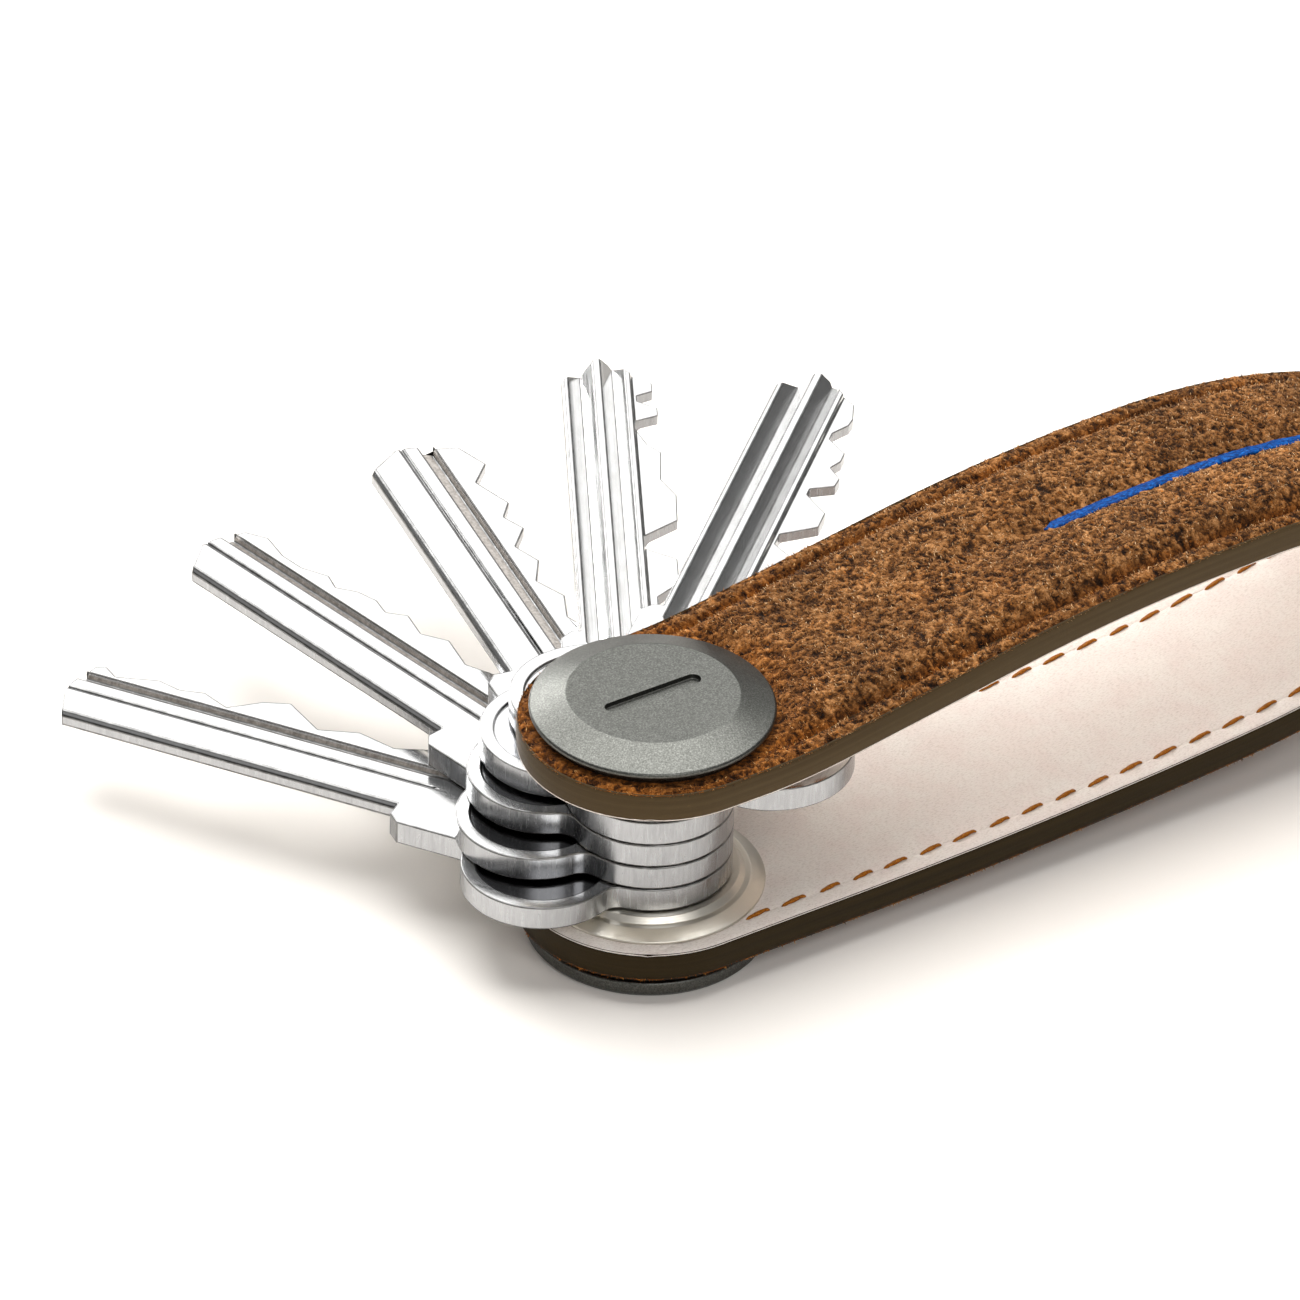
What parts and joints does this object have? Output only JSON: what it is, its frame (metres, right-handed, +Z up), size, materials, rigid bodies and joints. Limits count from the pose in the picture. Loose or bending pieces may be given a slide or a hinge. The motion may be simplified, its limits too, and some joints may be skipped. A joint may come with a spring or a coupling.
{
  "type": "key organiser",
  "caption": "Folded suede strap that holds a stack of keys on a threaded post; each key swings out round the post, and a coin-slotted disc locks the stack.",
  "frame": {"origin": "on the post's axis, on the outer flat of the lower disc that the part rests on", "axes": "+X along the strap from the post towards its fold, +Z up along the post"},
  "size_m": [0.1165, 0.0652, 0.0265],
  "materials": {
    "suede": "napped suede, orange-brown with darker hollows",
    "core": "smooth painted edge, satin",
    "lining": "smooth fine-grained lining, satin",
    "thread": "twisted polyester thread",
    "inlay": "smooth coloured strip",
    "disc": "fine bead-blasted gunmetal",
    "plate": "satin stainless steel",
    "hardware": "turned steel",
    "key_metal": "bright nickel plate with fine lengthwise lines"
  },
  "bodies": {
    "lower_arm": {"lower_disc": "disc", "post_barrel": "hardware", "lower_eyelet": "hardware", "lower_inner_plate": "plate", "lower_suede": "suede", "lower_core": "core", "lower_lining": "lining", "lower_stitching": "thread"},
    "upper_arm": {"upper_suede": "suede", "upper_core": "core", "upper_lining": "lining", "upper_stitching": "thread", "accent_inlay": "inlay", "upper_inner_plate": "plate", "upper_eyelet": "hardware"},
    "lock": {"top_disc": "disc", "lock_stud": "hardware"},
    "key_a": {"key_a": "key_metal"},
    "key_b": {"key_b": "key_metal"},
    "key_c": {"key_c": "key_metal"},
    "key_d": {"key_d": "key_metal"},
    "key_e": {"key_e": "key_metal"}
  },
  "joints": [
    {"name": "arm_open", "type": "hinge", "parent": "lower_arm", "child": "upper_arm", "pos_m": [0.078, 0, 0.01466], "axis": [0, 1, 0], "range_deg": [0, 10]},
    {"name": "lock_turn", "type": "hinge", "parent": "upper_arm", "child": "lock", "pos_m": [0, 0, 0.0223], "axis": [0, 0, 1], "range_deg": [0, 1170]},
    {"name": "key_a_turn", "type": "hinge", "parent": "lower_arm", "child": "key_a", "pos_m": [0, 0, 0.0064], "axis": [0, 0, 1], "range_deg": [-122.8, 237.2]},
    {"name": "key_b_turn", "type": "hinge", "parent": "lower_arm", "child": "key_b", "pos_m": [0, 0, 0.0064], "axis": [0, 0, 1], "range_deg": [-99.6, 260.4]},
    {"name": "key_c_turn", "type": "hinge", "parent": "lower_arm", "child": "key_c", "pos_m": [0, 0, 0.0064], "axis": [0, 0, 1], "range_deg": [-78.6, 281.4]},
    {"name": "key_d_turn", "type": "hinge", "parent": "lower_arm", "child": "key_d", "pos_m": [0, 0, 0.0064], "axis": [0, 0, 1], "range_deg": [-59.3, 300.7]},
    {"name": "key_e_turn", "type": "hinge", "parent": "lower_arm", "child": "key_e", "pos_m": [0, 0, 0.0064], "axis": [0, 0, 1], "range_deg": [-40.7, 319.3]}
  ]
}
